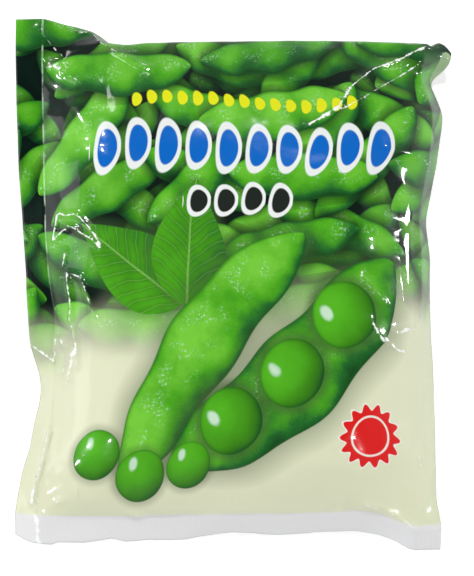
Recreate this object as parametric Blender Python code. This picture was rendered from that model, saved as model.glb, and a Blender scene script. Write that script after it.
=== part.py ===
"""A heat-sealed film pouch of frozen soybean pods, lying on its back.

Two film panels are welded together in a band along all four edges. The pods between them hold
the front panel up. The top band is folded down behind the pouch, apart from its left corner.
+X is to the right of the printed front, +Y is towards its top edge and +Z is up, out of the front.
The origin is under the middle of the pouch, on the surface that it lies on. Sizes are in metres.
"""

import math
import random

import bmesh
import bpy
from mathutils import Matrix, Vector

# The flat film
BODY_WIDTH = 0.155
BODY_HEIGHT = 0.186
SIDE_SEAL = 0.0105
BOTTOM_SEAL = 0.0100
TOP_SEAL = 0.0120
FILM_THICKNESS = 0.0006
SEAL_GAP = 0.0003

# How far the pods push the two panels apart, and how far in from each seal they level out
FRONT_BULGE = 0.0178
RISE_FROM_SIDE = 0.034
RISE_FROM_BOTTOM = 0.040
RISE_FROM_TOP = 0.056
RISE_POWER = 2.2
CROWN = 0.0022

# The radius that a seal band turns down with
SIDE_FOLD_RADIUS = 0.0020
TOP_FOLD_RADIUS = 0.0030

# The welded edge of each side seal, from bottom to top: place along Y, place along X, height, droop
# of the band in degrees
LEFT_SEAM = (
    (-0.0890, -0.0742, 0.0088, 16.0),
    (-0.0720, -0.0733, 0.0095, 48.0),
    (-0.0550, -0.0686, 0.0105, 42.0),
    (-0.0370, -0.0662, 0.0105, 38.0),
    (-0.0090, -0.0698, 0.0100, 6.0),
    (0.0120, -0.0711, 0.0100, 22.0),
    (0.0450, -0.0731, 0.0110, 26.0),
    (0.0910, -0.0738, 0.0125, 4.0),
)
RIGHT_SEAM = (
    (-0.0890, 0.0704, 0.0085, 20.0),
    (-0.0600, 0.0708, 0.0095, 52.0),
    (-0.0300, 0.0713, 0.0105, 64.0),
    (-0.0080, 0.0705, 0.0115, 70.0),
    (0.0200, 0.0703, 0.0115, 74.0),
    (0.0480, 0.0735, 0.0120, 70.0),
    (0.0660, 0.0748, 0.0120, 64.0),
    (0.0755, 0.0715, 0.0125, 66.0),
    (0.0830, 0.0722, 0.0125, 50.0),
    (0.0910, 0.0729, 0.0125, 0.0),
)
# The welded edge of each end seal, from left to right: place along X, place along Y, height, droop
BOTTOM_SEAM = (
    (-0.0742, -0.0885, 0.0085, 22.0),
    (-0.0500, -0.0895, 0.0085, 24.0),
    (-0.0100, -0.0870, 0.0090, 38.0),
    (0.0350, -0.0868, 0.0090, 44.0),
    (0.0560, -0.0885, 0.0085, 26.0),
    (0.0704, -0.0925, 0.0085, 10.0),
)
TOP_SEAM = (
    (-0.0738, 0.0910, 0.0125, 2.0),
    (-0.0630, 0.0908, 0.0128, 38.0),
    (-0.0500, 0.0900, 0.0132, 84.0),
    (-0.0390, 0.0893, 0.0134, 118.0),
    (-0.0280, 0.0905, 0.0134, 122.0),
    (0.0200, 0.0910, 0.0134, 124.0),
    (0.0600, 0.0908, 0.0130, 120.0),
    (0.0729, 0.0905, 0.0125, 112.0),
)

# Squares of film across each seal band and across the pouch between the bands
SIDE_SEAL_CELLS = 4
BOTTOM_SEAL_CELLS = 3
TOP_SEAL_CELLS = 7
BODY_CELLS_ACROSS = 20
BODY_CELLS_UP = 24

# One pod, and the layers that the pods lie in
POD_LENGTH = 0.055
POD_WIDTH = 0.0136
POD_THICKNESS = 0.0082
POD_BEANS = 3
POD_BEND = 0.0016
POD_RINGS = 9
POD_SIDES = 6
POD_PITCH = 0.0114
POD_TIP_OVERLAP = 0.0035
POD_TURN_DEGREES = 3.0
PODS_MIDDLE = (0.0030, -0.008)
POD_SEED = 7
# Height of a layer's middle and its number of rows, each row two pods end to end
POD_LAYERS = {
    "pods_lower_layer": (0.0051, 8),
    "pods_middle_layer": (0.0137, 12),
    "pods_upper_layer": (0.0223, 8),
}

FILM_COLOUR = (0.16, 0.42, 0.08, 1.0)
BACK_COLOUR = (0.86, 0.87, 0.72, 1.0)
POD_COLOUR = (0.20, 0.45, 0.07, 1.0)


def clear_scene():
    for obj in list(bpy.data.objects):
        bpy.data.objects.remove(obj)


def plain_material(name, colour, roughness):
    material = bpy.data.materials.new(name)
    material.use_nodes = True
    shader = material.node_tree.nodes["Principled BSDF"]
    shader.inputs["Base Color"].default_value = colour
    shader.inputs["Roughness"].default_value = roughness
    shader.inputs["Metallic"].default_value = 0.0
    return material


def linked_object(name, mesh, material=None):
    obj = bpy.data.objects.new(name, mesh)
    bpy.context.scene.collection.objects.link(obj)
    if material:
        mesh.materials.append(material)
    return obj


def smooth_values(stations, at):
    """The values of a seam at one place along it, on a smooth curve through its stations."""
    places = [station[0] for station in stations]
    at = min(max(at, places[0]), places[-1])
    i = max(k for k in range(len(places) - 1) if places[k] <= at)
    before, after = stations[max(i - 1, 0)], stations[min(i + 2, len(places) - 1)]
    here, there = stations[i], stations[i + 1]
    span = there[0] - here[0]
    share = (at - here[0]) / span
    values = []
    for k in range(1, len(here)):
        slope_here = (there[k] - before[k]) / (there[0] - before[0]) * span
        slope_there = (after[k] - here[k]) / (after[0] - here[0]) * span
        h, t, rest = here[k], there[k], 1.0 - share
        values.append(
            h * (1 + 2 * share) * rest**2
            + slope_here * share * rest**2
            + t * share**2 * (3 - 2 * share)
            - slope_there * share**2 * rest
        )
    return values


def mix(a, b, share):
    return a + (b - a) * share


def seam_values(stations, share):
    """Offset, height and droop of a seam at a share of its length."""
    return smooth_values(stations, mix(stations[0][0], stations[-1][0], share))


def rise(distance, reach):
    """How far a panel has risen from its seal, from 0 at the seal to 1 at that reach."""
    left = max(0.0, 1.0 - distance / reach)
    return 1.0 - left**RISE_POWER


def fullness(across, up):
    """How full the pouch is at a place on its body, given as shares of its width and height."""
    x, y = across * BODY_WIDTH, up * BODY_HEIGHT
    sides = rise(x, RISE_FROM_SIDE) * rise(BODY_WIDTH - x, RISE_FROM_SIDE)
    ends = rise(y, RISE_FROM_BOTTOM) * rise(BODY_HEIGHT - y, RISE_FROM_TOP)
    return sides * ends


def seam_height(across, up):
    """The height of the welded edges, carried smoothly over the whole body."""
    left, right = seam_values(LEFT_SEAM, up)[1], seam_values(RIGHT_SEAM, up)[1]
    bottom, top = seam_values(BOTTOM_SEAM, across)[1], seam_values(TOP_SEAM, across)[1]
    low = mix(BOTTOM_SEAM[0][2], BOTTOM_SEAM[-1][2], across)
    high = mix(TOP_SEAM[0][2], TOP_SEAM[-1][2], across)
    return mix(left, right, across) + mix(bottom, top, up) - mix(low, high, up)


def body_point(across, up, front):
    """A point of the front or back panel between the seals."""
    x = mix(seam_values(LEFT_SEAM, up)[0], seam_values(RIGHT_SEAM, up)[0], across)
    y = mix(seam_values(BOTTOM_SEAM, across)[0], seam_values(TOP_SEAM, across)[0], up)
    full, seam = fullness(across, up), seam_height(across, up)
    floor = FILM_THICKNESS + SEAL_GAP / 2
    if front:
        crown = CROWN * math.sin(math.pi * across) * math.sin(math.pi * up)
        return Vector((x, y, seam + full * (FRONT_BULGE + crown)))
    return Vector((x, y, floor + (seam - floor) * (1.0 - full)))


def band_step(distance, droop, radius):
    """How far a seal band reaches out and down at a distance from its welded edge."""
    turned = math.radians(abs(droop))
    bend = min(distance, radius * turned)
    straight = distance - bend
    angle = bend / radius
    out = radius * math.sin(angle) + straight * math.cos(turned)
    down = radius * (1.0 - math.cos(angle)) + straight * math.sin(turned)
    return out, down


def film_point(s, t, front):
    """The place of the flat film's point (s, t), measured from the body's lower left corner."""
    across = min(max(s / BODY_WIDTH, 0.0), 1.0)
    up = min(max(t / BODY_HEIGHT, 0.0), 1.0)
    point = body_point(across, up, front)
    if s < 0.0 or s > BODY_WIDTH:
        past = -s if s < 0.0 else s - BODY_WIDTH
        droop = seam_values(LEFT_SEAM if s < 0.0 else RIGHT_SEAM, up)[2]
        out, down = band_step(past, droop, SIDE_FOLD_RADIUS)
        point += Vector((-out if s < 0.0 else out, 0.0, -down))
    if t < 0.0:
        out, down = band_step(-t, seam_values(BOTTOM_SEAM, across)[2], SIDE_FOLD_RADIUS)
        point += Vector((0.0, -out, -down))
    if t > BODY_HEIGHT:
        droop = seam_values(TOP_SEAM, across)[2]
        out, down = band_step(t - BODY_HEIGHT, droop, TOP_FOLD_RADIUS)
        point += Vector((0.0, out, -down))
    return point


def stations_across():
    band = [SIDE_SEAL * (k / SIDE_SEAL_CELLS) for k in range(1, SIDE_SEAL_CELLS + 1)]
    body = [BODY_WIDTH * k / BODY_CELLS_ACROSS for k in range(BODY_CELLS_ACROSS + 1)]
    return [-d for d in reversed(band)] + body + [BODY_WIDTH + d for d in band]


def stations_up():
    lower = [BOTTOM_SEAL * (k / BOTTOM_SEAL_CELLS) for k in range(1, BOTTOM_SEAL_CELLS + 1)]
    upper = [TOP_SEAL * (k / TOP_SEAL_CELLS) for k in range(1, TOP_SEAL_CELLS + 1)]
    body = [BODY_HEIGHT * k / BODY_CELLS_UP for k in range(BODY_CELLS_UP + 1)]
    return [-d for d in reversed(lower)] + body + [BODY_HEIGHT + d for d in upper]


def panel_normals(grid):
    """The direction out of the front face at each point of a grid of points."""
    rows, columns = len(grid), len(grid[0])
    normals = []
    for j in range(rows):
        line = []
        for i in range(columns):
            along = grid[j][min(i + 1, columns - 1)] - grid[j][max(i - 1, 0)]
            up = grid[min(j + 1, rows - 1)][i] - grid[max(j - 1, 0)][i]
            line.append(along.cross(up).normalized())
        normals.append(line)
    return normals


def make_panel(name, front, material):
    """One film panel: a grid of film, set half the weld's gap off the seam and given its thickness."""
    grid = [[film_point(s, t, front) for s in stations_across()] for t in stations_up()]
    side = 1.0 if front else -1.0
    for line, normals in zip(grid, panel_normals(grid)):
        for point, normal in zip(line, normals):
            point += normal * (side * SEAL_GAP / 2)
    shape = bmesh.new()
    rows = [[shape.verts.new(point) for point in line] for line in grid]
    for low, high in zip(rows, rows[1:]):
        for i in range(len(low) - 1):
            shape.faces.new((low[i], low[i + 1], high[i + 1], high[i]))
    mesh = bpy.data.meshes.new(name)
    shape.to_mesh(mesh)
    shape.free()
    mesh.shade_smooth()
    panel = linked_object(name, mesh, material)
    wall = panel.modifiers.new("film_thickness", "SOLIDIFY")
    wall.thickness = FILM_THICKNESS
    wall.offset = side
    return panel


def pod_section(share):
    """Half width, half thickness and sideways bend of a pod at a share of its length."""
    taper = math.sin(math.pi * share) ** 0.55
    swell = 0.5 - 0.5 * math.cos(2.0 * math.pi * POD_BEANS * share)
    width = POD_WIDTH / 2 * taper * mix(0.90, 1.0, swell)
    thickness = POD_THICKNESS / 2 * taper * mix(0.72, 1.0, swell)
    bend = POD_BEND * (math.sin(math.pi * share) - 0.5)
    return width, thickness, bend


def add_pod(collection, name, place, turn, flip):
    """One closed pod, from its stem end to its tip, as a cutter-like helper for the layer's union."""
    shape = bmesh.new()
    rings = []
    for k in range(1, POD_RINGS + 1):
        share = k / (POD_RINGS + 1)
        width, thickness, bend = pod_section(share)
        x = (share - 0.5) * POD_LENGTH
        ring = []
        for side in range(POD_SIDES):
            angle = 2.0 * math.pi * side / POD_SIDES
            y = bend + width * math.cos(angle)
            ring.append(shape.verts.new((x, y, thickness * math.sin(angle))))
        rings.append(ring)
    bend_at_end = pod_section(0.0)[2]
    stem = shape.verts.new((-POD_LENGTH / 2, bend_at_end, 0.0))
    tip = shape.verts.new((POD_LENGTH / 2, bend_at_end, 0.0))
    for low, high in zip(rings, rings[1:]):
        for i in range(POD_SIDES):
            j = (i + 1) % POD_SIDES
            shape.faces.new((low[i], low[j], high[j], high[i]))
    for i in range(POD_SIDES):
        j = (i + 1) % POD_SIDES
        shape.faces.new((rings[0][j], rings[0][i], stem))
        shape.faces.new((rings[-1][i], rings[-1][j], tip))
    bmesh.ops.recalc_face_normals(shape, faces=shape.faces)
    facing = Matrix.Scale(-1.0, 4, (0, 1, 0)) if flip else Matrix.Identity(4)
    shape.transform(Matrix.Translation(place) @ Matrix.Rotation(turn, 4, "Z") @ facing)
    if flip:
        bmesh.ops.reverse_faces(shape, faces=shape.faces)
    mesh = bpy.data.meshes.new(name)
    shape.to_mesh(mesh)
    shape.free()
    pod = bpy.data.objects.new(name, mesh)
    collection.objects.link(pod)
    return pod


def make_pod_layer(name, height, rows, draw, material):
    """Two columns of pods frozen together side by side and tip to tip, as one solid."""
    pods = bpy.data.collections.new(name + "_pods")
    bpy.context.scene.collection.children.link(pods)
    reach = (POD_LENGTH - POD_TIP_OVERLAP) / 2
    for row in range(rows):
        y = PODS_MIDDLE[1] + (row - (rows - 1) / 2) * POD_PITCH
        flip = draw.random() < 0.5
        for column in (-1, 1):
            turn = math.radians(draw.uniform(-POD_TURN_DEGREES, POD_TURN_DEGREES))
            place = Vector((PODS_MIDDLE[0] + column * reach, y, height))
            add_pod(pods, f"{name}_{row}_{column}", place, turn, flip)
    members = list(pods.objects)
    layer = linked_object(name, members[0].data, material)
    bpy.data.objects.remove(members[0])
    join = layer.modifiers.new("frozen_together", "BOOLEAN")
    join.operation = "UNION"
    join.operand_type = "COLLECTION"
    join.collection = pods
    join.solver = "EXACT"
    depsgraph = bpy.context.evaluated_depsgraph_get()
    joined = bpy.data.meshes.new_from_object(layer.evaluated_get(depsgraph))
    layer.modifiers.clear()
    layer.data = joined
    for member in list(pods.objects):
        bpy.data.objects.remove(member)
    bpy.data.collections.remove(pods)
    joined.name = name
    joined.shade_smooth()
    return layer


def centre_on_origin(objects):
    """Moves the model so that the middle of its box is over the origin."""
    bpy.context.view_layer.update()
    depsgraph = bpy.context.evaluated_depsgraph_get()
    corners = []
    for obj in objects:
        whole = obj.evaluated_get(depsgraph)
        corners += [whole.matrix_world @ Vector(corner) for corner in whole.bound_box]
    middle_x = (min(c.x for c in corners) + max(c.x for c in corners)) / 2
    middle_y = (min(c.y for c in corners) + max(c.y for c in corners)) / 2
    for obj in objects:
        obj.location -= Vector((middle_x, middle_y, 0.0))


def main():
    clear_scene()
    printed = plain_material("printed_film", FILM_COLOUR, 0.25)
    plain = plain_material("back_film", BACK_COLOUR, 0.25)
    skin = plain_material("pod_skin", POD_COLOUR, 0.6)
    parts = [
        make_panel("front_film", True, printed),
        make_panel("back_film", False, plain),
    ]
    draw = random.Random(POD_SEED)
    for name, (height, rows) in POD_LAYERS.items():
        parts.append(make_pod_layer(name, height, rows, draw, skin))
    centre_on_origin(parts)


main()
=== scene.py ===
"""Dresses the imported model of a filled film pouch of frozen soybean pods.

Both film panels are remade at full detail from the flat film's own layout, with the seal bands,
puckers and creases of a pouch that has been packed and handled. Their print is drawn by shader
nodes from the flat film's coordinates. Sizes are in metres, and places on the film in millimetres.
"""

import math

import bpy
import numpy as np
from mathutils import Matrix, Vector
from mathutils.geometry import delaunay_2d_cdt


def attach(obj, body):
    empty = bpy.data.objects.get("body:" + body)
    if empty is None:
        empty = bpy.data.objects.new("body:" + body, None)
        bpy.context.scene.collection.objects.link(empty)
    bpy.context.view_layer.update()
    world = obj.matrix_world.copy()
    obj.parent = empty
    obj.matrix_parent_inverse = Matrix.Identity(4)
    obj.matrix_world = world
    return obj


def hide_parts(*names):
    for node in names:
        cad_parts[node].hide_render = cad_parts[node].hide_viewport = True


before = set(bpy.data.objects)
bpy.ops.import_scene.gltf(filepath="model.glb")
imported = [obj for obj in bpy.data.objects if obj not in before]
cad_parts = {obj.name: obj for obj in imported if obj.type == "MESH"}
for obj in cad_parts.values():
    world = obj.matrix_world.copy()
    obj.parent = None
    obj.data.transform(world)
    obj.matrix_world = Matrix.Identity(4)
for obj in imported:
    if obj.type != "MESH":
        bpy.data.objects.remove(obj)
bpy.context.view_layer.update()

bl_info = {
    "name": "Frozen Pod Pouch",
    "version": (1, 0, 0),
    "blender": (4, 5, 0),
    "location": "3D View > Sidebar > Pouch",
    "description": "Film panels, print, pods and studio of a heat-sealed frozen food pouch",
    "category": "Object",
}

# The flat film's layout, shared with the solids
BODY_WIDTH = 0.155
BODY_HEIGHT = 0.186
SIDE_SEAL = 0.0105
BOTTOM_SEAL = 0.0100
TOP_SEAL = 0.0120
# Half the height of both solid panels and their gap in the seal bands
SOLID_HALF_STACK = 0.00075
# Middle of the solids' outline in the seams' own coordinates
OUTLINE_MIDDLE = (-0.000293, 0.000305)

# Routes of the welded edges, in millimetres: place along the seam, the other place, height, droop
LEFT_SEAM = (
    (-89.1, -75.1, 9.0, 30), (-79.1, -74.7, 9.5, 42), (-70.3, -73.2, 9.8, 44), (-62.6, -71.0, 10.0, 48),
    (-54.9, -69.0, 10.4, 42), (-46.4, -68.5, 10.5, 54), (-39.5, -68.1, 10.5, 59), (-32.9, -67.8, 10.5, 49),
    (-25.2, -67.8, 10.3, 26), (-17.5, -68.1, 10.0, 9), (-8.3, -68.6, 10.0, 9), (5.2, -70.6, 10.0, 28),
    (21.0, -71.8, 10.2, 31), (32.5, -72.0, 10.6, 26), (47.9, -72.4, 11.0, 18), (71.0, -72.6, 11.8, 9),
    (92.2, -72.8, 12.5, 6),
)
RIGHT_SEAM = (
    (-89.0, 70.8, 8.5, 20), (-80.0, 71.6, 8.8, 44), (-60.0, 71.4, 9.5, 48), (-40.0, 71.6, 10.2, 52),
    (-20.0, 71.8, 11.0, 61), (-5.0, 71.7, 11.5, 65), (12.0, 71.9, 11.5, 65), (20.0, 71.3, 11.5, 67),
    (26.0, 70.8, 11.5, 69), (36.0, 72.2, 11.8, 65), (48.0, 74.4, 12.0, 65), (60.0, 76.0, 12.0, 63),
    (66.0, 76.4, 12.0, 61), (72.0, 74.4, 12.2, 65), (78.5, 71.4, 12.4, 65), (82.5, 71.6, 12.5, 44),
    (86.0, 72.6, 12.5, 6), (91.0, 73.2, 12.5, 0),
)
BOTTOM_SEAM = (
    (-75.1, -89.1, 8.5, 8), (-66.0, -89.1, 8.6, 12), (-39.0, -89.1, 8.8, 22), (-16.0, -88.6, 9.0, 32),
    (0.0, -88.2, 9.4, 50), (18.5, -88.4, 9.2, 46), (36.0, -87.8, 9.2, 50), (47.0, -87.0, 9.4, 42),
    (56.0, -88.0, 9.2, 38), (64.0, -91.4, 8.8, 30), (70.8, -93.4, 8.5, 24),
)
TOP_SEAM = (
    (-72.8, 90.0, 12.5, 2), (-66.0, 89.7, 12.6, 26), (-58.0, 91.2, 13.0, 50), (-52.0, 91.4, 13.2, 66),
    (-46.0, 91.2, 13.4, 94), (-40.0, 90.8, 13.4, 122), (-33.0, 91.6, 13.4, 124), (0.0, 92.2, 13.4, 124),
    (40.0, 92.3, 13.4, 124), (62.0, 92.0, 13.0, 120), (73.2, 91.6, 12.5, 112),
)
# How far the routes are smoothed and the radii of the folds, in millimetres, and the angles in degrees
# at which the right and top bands leave their welds
SEAM_SMOOTHING = 5.0
SIDE_FOLD_RADIUS = 2.0
TOP_FOLD_RADIUS = 3.0
RIGHT_FOLD_START = 45.0
TOP_FOLD_START = 32.0
# The loose corner at the top right: distance past the weld and drop of its upper edge in millimetres
EAR_EDGE = ((0.0, 0.0), (2.0, 0.6), (3.4, 1.2), (5.8, 0.3), (7.2, 0.0), (8.8, 0.9), (10.5, 3.0))
# How far down the film the drop fades out, in metres, and how steeply the corner's side leans in
EAR_REACH = 0.016
EAR_CHAMFER = 0.6
# How far the rounded lower left corner lies above a square one, in metres
CORNER_LIFT = 0.0026
# The bottom edge: distance along the flat film and how far it reaches past a straight cut, in millimetres
BOTTOM_EDGE = (
    (-10.5, 0.0), (-0.8, 0.3), (5.4, 1.0), (8.5, 0.1), (18.5, 0.6), (26.0, -0.2), (29.7, -0.8), (32.8, -0.2),
    (35.9, 0.6), (44.0, 0.3), (59.5, 1.0), (65.8, 0.4), (75.7, 0.3), (87.6, 0.8), (93.2, 1.1), (106.9, 1.1),
    (121.8, 0.7), (131.8, 0.2), (138.0, 0.2), (146.7, -0.8), (152.3, 0.2), (156.0, -0.3), (165.5, 0.1),
)
# A flat fold down the right side of the front, in millimetres: place along Y, its middle along X and its
# half width there, which is negative where the fold is pinched off
FLAT_FOLD = (
    (-3.0, 66.2, -0.8), (0.5, 66.2, 0.3), (4.0, 66.2, 0.6), (8.0, 66.3, 1.0), (12.0, 66.3, 1.3),
    (18.0, 66.4, 1.6), (19.8, 66.3, 1.5), (20.7, 66.2, -0.6), (21.6, 66.4, 0.8), (23.5, 66.7, 1.4),
    (26.0, 67.0, 1.6), (28.5, 66.9, 1.3), (31.0, 66.6, 0.7), (33.0, 66.4, -0.6),
)
# How wide the fold's rim is, in metres, and how steeply the fold falls towards +X
FLAT_FOLD_RIM = 0.0010
FLAT_FOLD_SLOPE = 0.793

# Creases of the front panel, in millimetres: height, spread, how white the crest is painted from 0 to 1,
# partly as stress whitening and partly as a painted highlight, and route as seen from above
CREASES = (
    (1.6, 2.0, 1.0,
     ((74.0, 90.7), (70.1, 89.1), (64.7, 86.0), (53.5, 81.0), (44.9, 73.7), (40.0, 66.0), (28.9, 59.1))),
    (1.3, 4.5, 0.7, ((43.5, 71.5), (40.5, 65.5), (33.5, 61.0))),
    (1.0, 1.2, 0.85, ((70.8, 84.1), (64.1, 79.3), (56.4, 74.3), (49.7, 69.9), (41.0, 64.9))),
    (1.0, 4.5, 0.0, ((57.0, 51.5), (70.5, 48.5))),
    (0.9, 4.5, 0.0, ((64.2, 38.0), (64.0, 4.0), (63.6, -10.0))),
    (0.7, 1.0, 0.75, ((48.1, 6.4), (48.1, 3.3))),
    (0.7, 1.0, 0.8, ((55.1, -4.4), (57.4, -7.5))),
    (0.9, 2.6, 1.0, ((52.0, -14.6), (53.6, -17.6), (55.6, -20.6), (57.6, -22.6))),
    (0.9, 1.6, 1.0, ((59.8, -23.6), (62.0, -24.8), (64.0, -25.2))),
    (1.0, 3.0, 1.0, ((61.4, -18.6), (63.4, -17.8), (65.4, -17.4))),
    (0.9, 1.6, 1.0, ((64.0, -16.6), (69.0, -17.2))),
    (1.3, 1.0, 1.0,
     ((-67.2, 16.9), (-66.1, 22.5), (-65.6, 26.1), (-64.3, 27.0), (-61.8, 26.1), (-58.8, 26.6))),
    (1.3, 1.0, 1.0,
     ((-58.8, 26.6), (-56.3, 25.4), (-53.7, 22.5), (-51.2, 19.4), (-49.7, 17.0), (-48.6, 14.3))),
    (1.2, 1.0, 0.95,
     ((-62.2, 23.0), (-61.3, 22.2), (-59.8, 22.0), (-55.8, 19.4), (-51.7, 17.0), (-48.8, 14.1))),
    (1.3, 1.0, 1.0, ((-67.2, 16.9), (-62.1, 21.0))),
    (0.8, 1.0, 0.85, ((-62.2, 12.4), (-62.9, 8.1), (-63.4, 6.9))),
    (1.3, 1.1, 0.85,
     ((-61.3, 4.5), (-58.8, 4.0), (-55.9, 2.8), (-54.0, -1.1), (-52.1, -6.4), (-50.6, -11.2))),
    (1.3, 1.1, 0.95, ((-61.3, 4.5), (-60.9, 0.4), (-60.0, -4.4), (-59.8, -9.2), (-60.3, -13.6))),
    (1.3, 1.2, 1.0, ((-77.2, -22.9), (-68.1, -29.1), (-66.6, -26.6), (-66.6, -21.0))),
    (0.9, 1.0, 0.8, ((-59.6, -15.5), (-58.4, -21.3), (-57.9, -31.3))),
    (1.1, 1.0, 0.9, ((-58.8, -24.5), (-61.1, -35.8))),
    (0.8, 1.0, 0.7, ((-59.8, -25.1), (-62.4, -30.2), (-63.4, -33.8))),
    (0.8, 1.0, 0.8, ((-64.7, -20.3), (-63.5, -24.1))),
    (2.2, 1.5, 1.0, ((-69.1, -56.2), (-71.8, -67.1), (-74.8, -77.3), (-76.3, -84.0))),
    (0.7, 4.4, 1.0, ((-76.0, -79.0), (-75.0, -91.5), (-74.5, -99.5))),
    (0.7, 1.0, 0.8, ((-68.9, -69.1), (-69.7, -72.2))),
    (0.7, 1.0, 0.8, ((-59.3, -76.8), (-58.9, -79.5))),
    (0.7, 1.0, 0.8, ((-67.0, -83.0), (-64.7, -82.2))),
    (0.8, 1.1, 0.85, ((-38.9, -87.6), (-37.3, -86.8), (-35.4, -88.4))),
    (1.5, 1.8, 0.8, ((50.8, -83.2), (58.1, -85.3), (63.5, -88.2), (70.1, -93.7))),
    (0.8, 1.1, 0.75, ((70.7, -65.3), (72.0, -69.8))),
    (1.0, 1.3, 0.7, ((-73.9, 97.6), (-69.5, 91.5), (-65.8, 87.6))),
    (1.3, 1.3, 0.7,
     ((-61.0, 96.3), (-55.1, 96.4), (-50.6, 91.8), (-44.5, 88.2), (-38.6, 85.0), (-30.4, 81.0))),
    (0.7, 1.0, 0.75, ((-71.6, 84.8), (-63.4, 84.2))),
    (0.6, 0.9, 0.7, ((-71.0, 82.9), (-64.0, 82.6))),
    (0.7, 0.9, 0.85, ((-66.3, 82.1), (-64.3, 80.0))),
    (0.7, 0.9, 0.85, ((-62.5, 79.5), (-58.1, 77.1))),
)
# Least half width of a crest's painted white, partly wear and partly highlight, in millimetres
WEAR_AND_HIGHLIGHT_WIDTH = 0.9
# Places on the flat film past which the top band is folded under and has no creases, in metres
FOLDED_FROM_X = 0.06
FOLDED_FROM_Y = BODY_HEIGHT + 0.001

# How far the bulge's slopes reach in from the welds at the sides, the bottom and the top, in metres
SIDE_SLOPE = 0.034
BOTTOM_SLOPE = 0.040
TOP_SLOPE = 0.056
SLOPE_POWER = 2.2
# Puckers along the seals: reach into the body, pitch, share of the wobble, height
PUCKERS = ((0.006, 0.0045, 1.0, 1.2), (0.016, 0.0105, 2.0, 1.6))
# Spacing of the film's large and small facets
FACET_PITCHES = (0.015, 0.008)
# Pods that press against the film: how many, half length, half width and spacing of their beans
LUMP_COUNT = 46
LUMP_HALF_LENGTH = 0.021
LUMP_HALF_WIDTH = 0.0055
LUMP_BEANS = 0.0062

# Layers of the printed heap, lowest first: turn in radians, row and cell in millimetres, seed, how
# far it fades into the gaps, and the share of its cells that hold a pod
HEAP_LAYERS = (
    (1.15, 20.0, 52.0, 11.0, 0.55, 0.85),
    (-0.7, 21.0, 54.0, 5.0, 0.35, 0.8),
    (0.5, 22.0, 57.0, 8.0, 0.15, 0.65),
    (-0.35, 23.0, 58.0, 3.0, 0.0, 0.6),
    (0.85, 23.0, 60.0, 13.0, 0.0, 0.35),
    (0.12, 25.0, 63.0, 2.0, 0.0, 0.55),
)

# Motifs of the print, in millimetres from the lower left corner of the flat film's body.
# Leaves: middle, turn in radians, length and width
LEAVES = (((36.0, 100.0), 2.45, 50.0, 30.0), ((60.0, 108.0), 1.45, 50.0, 30.0))
# Large pods, the open one last: the same, then bend, lobes, tint and how far one side is lit
LARGE_PODS = (
    ((66.0, 66.0), 0.92, 120.0, 31.0, 9.0, 9.4, 0.8, 0.5),
    ((100.0, 58.0), 0.72, 118.0, 39.0, -8.0, 9.4, 0.45, 0.3),
)
# Beans of the open pod: place along it and how far each lies off a straight row
POD_BEANS = ((-31.0, -1.0), (-0.5, 1.6), (30.0, -0.8))
# Loose beans: middle, width and tint
LOOSE_BEANS = (((22.0, 26.0), 19.0, 0.7), ((41.0, 18.0), 20.0, 0.5), ((60.0, 22.0), 18.0, 0.6))
# Rows of bean shapes: middle, count, pitch, half width, half height and seed
BLUE_ROW = ((80.0, 144.0), 10, 11.9, 3.7, 7.6, 2.0)
YELLOW_ROW = ((80.0, 162.0), 15, 6.0, 2.0, 2.9, 5.0)
DARK_ROW = ((80.0, 124.0), 4, 11.0, 3.5, 4.8, 9.0)
# The star badge: middle, number of points, radius and its ring's radius
BADGE_CENTRE = (133.0, 32.0)
BADGE_POINTS = 14.0
BADGE_RADIUS = 11.2
BADGE_RING = 7.6
# Panels of the back: middle, half width and half height
BACK_PANELS = (((48.0, 60.0), 34.0, 40.0), ((116.0, 78.0), 26.0, 22.0), ((116.0, 36.0), 26.0, 12.0))
# Colour of the unprinted bottom band
UNPRINTED = (0.78, 0.78, 0.79)
# How fast a pod's and a leaf's cover falls off at their edges, for each millimetre
EDGE_SHARPNESS = 2.6

# Lights round the pouch: azimuth and elevation in degrees, size in metres, share of the power
STUDIO_LIGHTS = (
    (140.0, 46.0, 0.05, 0.6),
    (80.0, 56.0, 0.05, 0.6),
    (232.0, 48.0, 0.05, 0.6),
    (308.0, 44.0, 0.05, 0.7),
    (20.0, 38.0, 0.05, 0.4),
    (2.5, 9.0, 0.08, 0.4),
    (180.0, 10.0, 0.35, 0.2),
    (157.0, 24.0, 0.04, 0.3),
    (203.0, 24.0, 0.04, 0.3),
    (112.0, 37.0, 0.12, 0.15),
)

# The camera's place along X and Y, its sensor, and the height at which view_height is seen
CAMERA_XY = (0.0019, -0.00135)
SENSOR_HEIGHT = 24.0
SEAM_LEVEL = 0.008


def length_setting(name, description, default):
    return bpy.props.FloatProperty(name=name, description=description, default=default, unit="LENGTH")


def colour_setting(name, description, default):
    return bpy.props.FloatVectorProperty(
        name=name, description=description, subtype="COLOR", size=3, default=default
    )


class PouchFilmSettings(bpy.types.PropertyGroup):
    """Sizes of the film panels"""

    wall: length_setting("Film thickness", "Thickness of one film panel", 0.00012)
    spacing: length_setting("Grid spacing", "Spacing of the film's points", 0.00088)
    bulge: length_setting("Bulge", "Rise of the front panel over its welded edges", 0.0178)
    crown: length_setting("Crown", "Further rise at the middle", 0.0022)
    pucker: length_setting("Pucker height", "Height of the puckers along the seals", 0.0007)
    crumple: length_setting("Crumple height", "Height of the film's facets", 0.0004)
    lump: length_setting("Pod lump height", "How far pods show through the film", 0.0008)


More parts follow.
